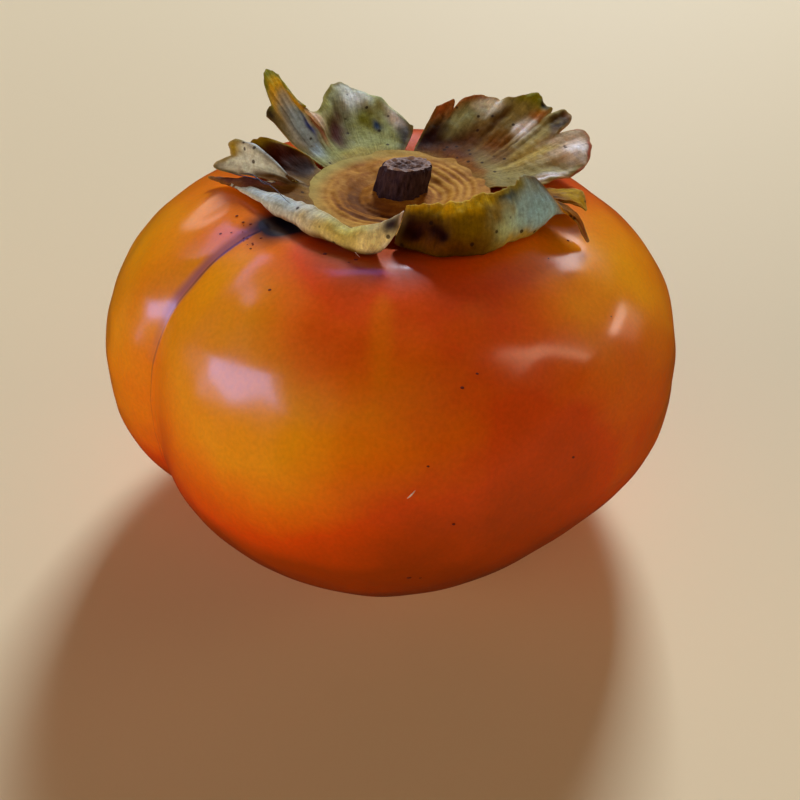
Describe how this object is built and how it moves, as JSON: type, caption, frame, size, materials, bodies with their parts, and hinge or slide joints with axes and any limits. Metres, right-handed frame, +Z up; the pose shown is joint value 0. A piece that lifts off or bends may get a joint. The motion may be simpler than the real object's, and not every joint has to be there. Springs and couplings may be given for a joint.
{
  "type": "persimmon",
  "caption": "Squat, lobed orange persimmon with a deep crease, a dried curling calyx round a ringed disc, and a stub of stalk.",
  "frame": {"origin": "middle of the fruit's plan, on the surface it stands on", "axes": "+Z up through the calyx; +X towards the single smooth lobe; the deep crease is at about 211 degrees round from +X"},
  "size_m": [0.0782, 0.0754, 0.057],
  "materials": {
    "skin": "waxy gloss over orange flesh",
    "calyx": "dry, matt, ringed",
    "sepal": "dry papery leaf with a slight sheen",
    "bark": "rough dark bark"
  },
  "bodies": {
    "root": {"fruit": "skin", "calyx_disc": "calyx", "sepal_front_left": "sepal", "sepal_front_right": "sepal", "sepal_back_left": "sepal", "sepal_back_right": "sepal", "stem_stub": "bark", "blossom_tip": "bark"}
  },
  "joints": []
}
